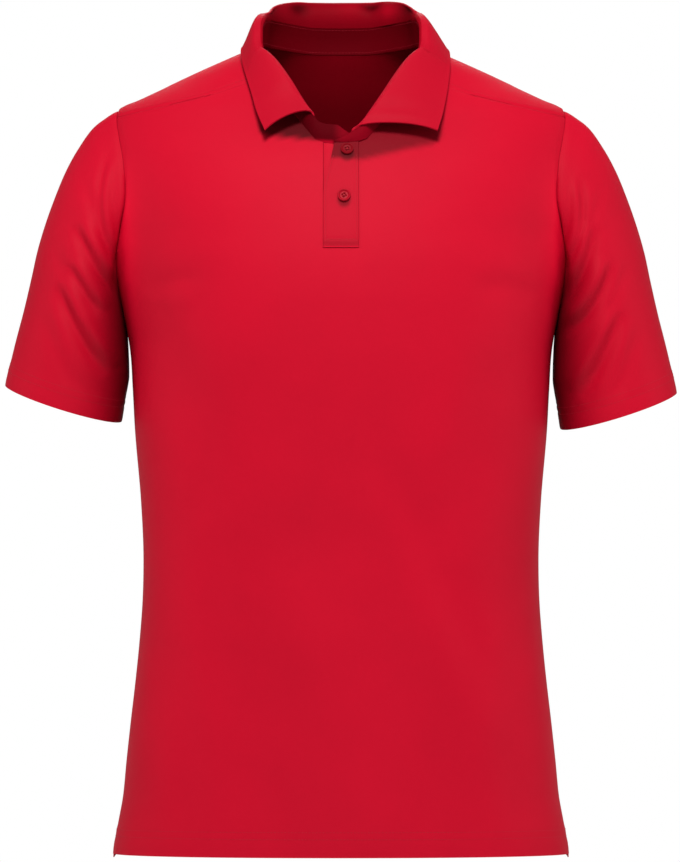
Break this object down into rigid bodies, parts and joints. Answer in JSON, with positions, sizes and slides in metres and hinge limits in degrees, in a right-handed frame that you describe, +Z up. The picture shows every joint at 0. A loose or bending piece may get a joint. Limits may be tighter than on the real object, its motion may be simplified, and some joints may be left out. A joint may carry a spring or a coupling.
{
  "type": "polo shirt",
  "caption": "Short-sleeved polo shirt with a folded collar and a buttoned placket, filled out as if worn and hollow inside.",
  "frame": {"origin": "between the wearer's shoulders, at the height where the shoulder meets the neck, which is where the shirt is held", "axes": "+Z up, +X towards the wearer's left, +Y towards the wearer's back; the front faces -Y"},
  "size_m": [0.596, 0.2576, 0.7642],
  "materials": {
    "front_cloth": "fine smooth knit with a soft sheen",
    "back_cloth": "fine smooth knit with a soft sheen",
    "sleeve_right_cloth": "fine smooth knit with a soft sheen",
    "sleeve_left_cloth": "fine smooth knit with a soft sheen",
    "collar_stand_cloth": "faced knit, smooth",
    "collar_leaf_cloth": "faced knit, smooth, with a soft sheen",
    "placket_upper_cloth": "faced knit, smooth",
    "placket_under_cloth": "faced knit, smooth",
    "button_plastic": "dyed plastic, satin"
  },
  "bodies": {
    "root": {"front": "front_cloth", "back": "back_cloth", "sleeve_right": "sleeve_right_cloth", "sleeve_left": "sleeve_left_cloth", "collar_stand": "collar_stand_cloth", "collar_leaf": "collar_leaf_cloth", "placket_upper": "placket_upper_cloth", "placket_under": "placket_under_cloth", "button_top": "button_plastic", "button_lower": "button_plastic"}
  },
  "joints": []
}
